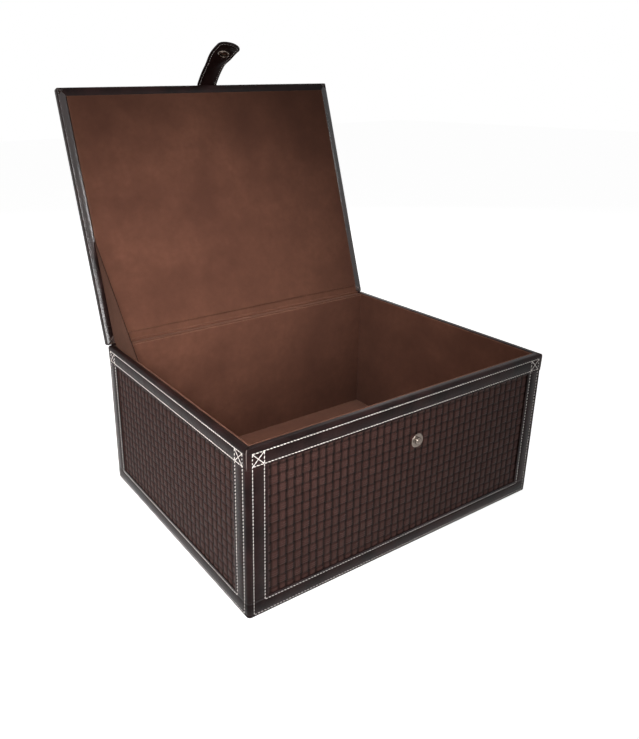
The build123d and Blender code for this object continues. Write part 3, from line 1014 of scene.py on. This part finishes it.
def strap_place(across, along, height):
    """Point of the strap at rest, with the twist that grows across the link."""
    flat = strap_flat(across, along, height)
    t = ((flat - link_point).dot(link_axis) + strap_flex) / (2 * strap_flex)
    t = min(max(t, 0.0), 1.0)
    twist = Matrix.Rotation(-strap_twist * t * t * (3 - 2 * t), 3, link_axis)
    return to_open @ (link_point + twist @ (flat - link_point))


def strap_normal(along):
    return (strap_place(0, along, MM) - strap_place(0, along, 0)).normalized()


def strap_half_width(along):
    past = max(0.0, along - strap_round_from)
    return sqrt(max(strap_half ** 2 - past ** 2, 0.0))


def strap_section(along):
    """Closed section with rolled edges and a groove for the edge stitches on both faces."""
    wide = max(strap_half_width(along), 0.3 * MM)
    roll = min(1.1 * MM, wide * 0.6)
    turns = [radians(t) for t in (-90, -54, -18, 18, 54, 90)]
    edge = [(wide - roll + roll * cos(t), strap_t / 2 * (1 + sin(t))) for t in turns]
    if wide > 6 * MM:
        row = wide - strap_row
        face = [(row - shift * 0.9 * MM, strap_t - depth * 0.25 * MM) for shift, depth in groove_shape]
    else:
        face = [(wide * share, strap_t) for share in (0.35, 0.28, 0.2, 0.14, 0.07)]
    section = edge + face + [(-a, h) for a, h in reversed(face)]
    section += [(-a, h) for a, h in reversed(edge)]
    section += [(-a, strap_t - h) for a, h in face]
    return section + [(a, strap_t - h) for a, h in reversed(face)]


def strap_edge_path(first, last):
    """Line of the edge stitches, (across, along), down the left side, round the tip and up the right."""
    inner = strap_half - strap_row
    straight = span(first, min(last, strap_round_from), 2 * MM)
    path = [(-inner, along) for along in straight]
    if last > strap_round_from:
        turns = [radians(t) for t in span(6, 174, 6)]
        path += [(-inner * cos(t), strap_round_from + inner * sin(t)) for t in turns]
        path += [(inner, along) for along in reversed(straight)]
    return path


def strap_stitches(name, first, last):
    """Edge stitches on both faces of the strap between two distances from its root."""
    path = strap_edge_path(first, last)
    routes = [path] if last > strap_length / 2 else [path, [(-a, s) for a, s in path]]
    made = []
    for a, b in (ends for route in routes for ends in even_pieces(route)):
        for height, out in ((strap_t - 0.1 * MM, 1), (0.1 * MM, -1)):
            normal = strap_normal((a[1] + b[1]) / 2) * out
            made.append(stitch(strap_place(*a, height), strap_place(*b, height), normal, thick=0.6))
    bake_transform(add_mesh(name, *join_lofts(*made), THREAD, 80))


def even_pieces(route):
    """Stitch ends spaced evenly along a line of (across, along) points."""
    marks = [0.0]
    for a, b in zip(route, route[1:]):
        marks.append(marks[-1] + (Vector(b) - Vector(a)).length)
    count = max(1, round(marks[-1] / stitch_pitch))

    def at(distance):
        i = max(k for k in range(len(route) - 1) if marks[k] <= distance)
        t = (distance - marks[i]) / (marks[i + 1] - marks[i])
        return tuple(p + (q - p) * t for p, q in zip(route[i], route[i + 1]))

    step = marks[-1] / count
    ends = ((1 - stitch_share) / 2, (1 + stitch_share) / 2)
    return [[at(step * (i + end)) for end in ends] for i in range(count)]


def strap_leather(name, stops, nodes):
    rows = [[strap_place(a, along, h) for a, h in strap_section(along)] for along in stops]
    obj = leather_piece(name, *join_lofts(rows), None, *nodes, smooth=50)
    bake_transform(obj)


def strap():
    """Two strips of leather: from the lid over the fold, and on over the link to the round tip."""
    fold = (strap_place(0, -1 * MM, 0), strap_place(0, 18 * MM, 0))
    upper = span(-strap_sewn, -strap_knee, 4 * MM) + span(-strap_knee, strap_knee, 0.6 * MM)[1:]
    upper += span(strap_knee, strap_seam, 2.5 * MM)[1:]
    turns = (0, 10, 20, 30, 40, 50, 58, 66, 73, 79, 84, 88)
    lower = span(strap_seam, strap_round_from - 1.5 * MM, 2 * MM)
    lower += [strap_round_from + strap_half * sin(radians(t)) for t in turns]
    strap_leather("strap_upper_leather", upper, ["strap_sewn_end", "strap_upper"])
    strap_leather("strap_lower_leather", lower, ["strap_lower"])
    strap_stitches("strap_stitches_upper", -strap_sewn + strap_row, strap_seam)
    strap_stitches("strap_stitches_lower", strap_seam, strap_length)


# ---- Snap ----
def in_mm(*corners):
    return [tuple(v * MM for v in corner) for corner in corners]


def turned(name, profile, centre, axis, body, node):
    """Nickel piece turned about an axis, from a closed (radius, height) profile."""
    axis = axis.normalized()
    side = axis.orthogonal().normalized()
    up = axis.cross(side)
    slices = 40
    rows = []
    for t in (2 * pi * k / slices for k in range(slices)):
        spoke = side * cos(t) + up * sin(t)
        rows.append([centre + spoke * r + axis * h for r, h in profile])
    obj = add_mesh(name, *loft(rows + [rows[0]], capped=False), NICKEL, 40)
    stands_for(obj, [node], body)


def snap_socket():
    seat = strap_curl - sqrt(strap_curl ** 2 - (7.5 * MM) ** 2)
    axis = -strap_normal(socket_along)
    centre = strap_place(0, socket_along, 0) + axis * seat
    corners = [(core, -seat, 0), (7.3 * MM, -seat, 0)]
    corners += in_mm((7.5, 0.6, 0.3), (7.3, 1.7, 0.6), (6.0, 2.6, 0.5))
    corners += in_mm((4.5, 2.55, 0.3), (4.3, 1.6, 0.2), (4.7, 0.7, 0.1))
    corners.append((core, 0.6 * MM, 0))
    turned("snap_socket_ring", round_corners(corners), centre, axis, "strap_tip", "snap_socket")


def snap_cap():
    axis = strap_normal(socket_along)
    centre = strap_place(0, socket_along, strap_t)
    wide_mm, high_mm = 7.5, 2.2
    turns = [radians(t) for t in (90, 78, 64, 50, 36, 22, 10)]
    profile = [(core, -0.3 * MM), (7.2 * MM, -0.3 * MM)]
    profile += in_mm(*[(wide_mm * sin(t), high_mm * cos(t)) for t in turns])
    profile.append((core, high_mm * MM))
    turned("snap_cap_dome", profile, centre, axis, "strap_tip", "snap_cap")


def snap_stud():
    """A flange with a rounded rim, and a domed post."""
    low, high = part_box("snap_stud")
    centre = Vector(((low.x + high.x) / 2, -half_d + strip_t, (low.z + high.z) / 2))
    height = centre.y - low.y
    post, foot = 4 * MM, 1.0 * MM
    corners = [(core, -0.4 * MM, 0)]
    corners += in_mm((7.6, -0.4, 0), (8.0, 0.3, 0.2), (6.9, 1.2, 0.5), (4.9, 0.7, 0.2))
    corners += [(post * cos(t), foot + (height - foot) * sin(t), 0) for t in span(0, 1.5, 0.2)]
    corners.append((core, height, 0))
    turned("snap_stud_face", round_corners(corners), centre, Vector((0, -1, 0)), "box", "snap_stud")


# ---- Hidden nodes, stage, light and camera ----
def dress_hidden_nodes():
    looks = {place + "_board": BOARD for place in ("bottom", "front", "back", "left", "right", "lid")}
    looks |= {"base_cover": LEATHER, "stud_washer": NICKEL}
    for name, material in looks.items():
        materials = frame["nodes"][name].data.materials
        materials.clear()
        materials.append(material)


def stage():
    reach = 6.0
    mesh = bpy.data.meshes.new("floor")
    corners = [(-reach, -reach, 0), (reach, -reach, 0), (reach, reach, 0), (-reach, reach, 0)]
    mesh.from_pydata(corners, [], [(0, 1, 2, 3)])
    mesh.materials.append(white_floor())
    floor = add_object("floor", mesh)
    floor.location.z = -0.2 * MM


def world():
    """White backdrop to the eye, to gloss and to glass, plain soft light to the object."""
    made = bpy.data.worlds.new("studio")
    bpy.context.scene.world = made
    made.use_nodes = True
    tree = made.node_tree
    tree.nodes.clear()
    mix = tree.nodes.new("ShaderNodeMixShader")
    tree.links.new(seen_white(tree), mix.inputs[0])
    for i, strength in enumerate((0.12, 1.0)):
        shader = tree.nodes.new("ShaderNodeBackground")
        shader.inputs["Strength"].default_value = strength
        shader.inputs["Color"].default_value = (1, 1, 1, 1)
        tree.links.new(shader.outputs[0], mix.inputs[i + 1])
    out = tree.nodes.new("ShaderNodeOutputWorld")
    tree.links.new(mix.outputs[0], out.inputs[0])


def add_light(name, kind, place, aim, power, **settings):
    data = bpy.data.lights.new(name, kind)
    data.energy = power
    for key, value in settings.items():
        setattr(data, key, value)
    lamp = add_object(name, data)
    lamp.location = place
    lamp.rotation_euler = (Vector(aim) - Vector(place)).to_track_quat("-Z", "Y").to_euler()


def lights():
    """Soft spots on the front left and above, whose edges fade over the lid, and softboxes round them."""
    soft = {"spot_blend": 1.0, "shadow_soft_size": 0.12}
    spots = (
        ("key_light", (-0.48, -0.52, 0.56), (-0.08, 0.08, 0.10), 23.5, 60),
        ("low_light", (-0.50, -0.80, 0.36), (-0.10, 0.10, 0.14), 10, 44),
        ("top_light", (0.0, 0.0, 0.8), (0.0, 0.04, 0.0), 16, 50),
    )
    for name, place, aim, power, angle in spots:
        add_light(name, "SPOT", place, aim, power, spot_size=radians(angle), **soft)
    grid = {"spread": radians(50), "shape": "RECTANGLE"}
    strips = (
        ("high_strip", (-0.37, -0.64, 0.80), 0.15, 0.13, 0.13),
        ("right_strip", (0.445, -0.48, 0.70), 0.11, 0.07, 0.07),
        ("front_strip", (-0.17, -0.80, 0.47), 0.26, 0.32, 0.16),
    )
    for name, place, power, wide, high in strips:
        add_light(name, "AREA", place, (-0.19, 0.19, 0.30), power, size=wide, size_y=high, **grid)
    middle = (0, 0, 0.1)
    add_light("left_softbox", "AREA", (-1.1, 0.0, 0.62), middle, 1.5, size=0.4)
    add_light("rear_softbox", "AREA", (0.9, 1.3, 0.9), middle, 6, size=0.8)


def camera():
    """View from the front left; the focal length and shifts are in pixels of an image this high."""
    image_height = 739
    focal, shift_x, shift_y = 699.2, 73.5, -36.8
    eye = (-0.4776, -0.5960, 0.4737)
    heading, tilt, roll = radians(32.275), radians(-19.763), radians(-0.83)
    forward = Vector((sin(heading) * cos(tilt), cos(heading) * cos(tilt), sin(tilt)))
    level = Vector((cos(heading), -sin(heading), 0))
    upright = level.cross(forward)
    right = level * cos(roll) + upright * sin(roll)
    up = upright * cos(roll) - level * sin(roll)
    data = bpy.data.cameras.new("camera")
    data.sensor_width = 36.0
    data.lens = data.sensor_width * focal / image_height
    data.shift_x, data.shift_y = shift_x / image_height, shift_y / image_height
    data.clip_start, data.clip_end = 0.05, 50
    obj = add_object("camera", data)
    turn = Matrix((right, up, -forward)).transposed()
    obj.matrix_world = Matrix.Translation(eye) @ turn.to_4x4()
    bpy.context.scene.camera = obj


for face in FACES:
    stitched_face(face)
    woven_panel(face, "lid_panel" if face.name == "lid" else "panel_" + face.name)
rim_leather()
base_leather()
for depth, side_y in (("front", -1), ("rear", 1)):
    for hand, side_x in (("left", -1), ("right", 1)):
        corner_leather(f"corner_strip_{depth}_{hand}", side_x, side_y)
folded_edges("rim_creases", rim_crease, "box", Matrix.Identity(4))
folded_edges("lid_mitres", lid_mitre, "lid", to_open)
hinge_rolls()
lid_front_leather()
lid_side_leather("lid_border_left", -1)
lid_side_leather("lid_border_right", 1)
spine()
cloth()
linings()
gusset()
strap()
snap_socket()
snap_cap()
snap_stud()
dress_hidden_nodes()
stage()
world()
lights()
camera()
bpy.context.scene.view_settings.view_transform = "Standard"
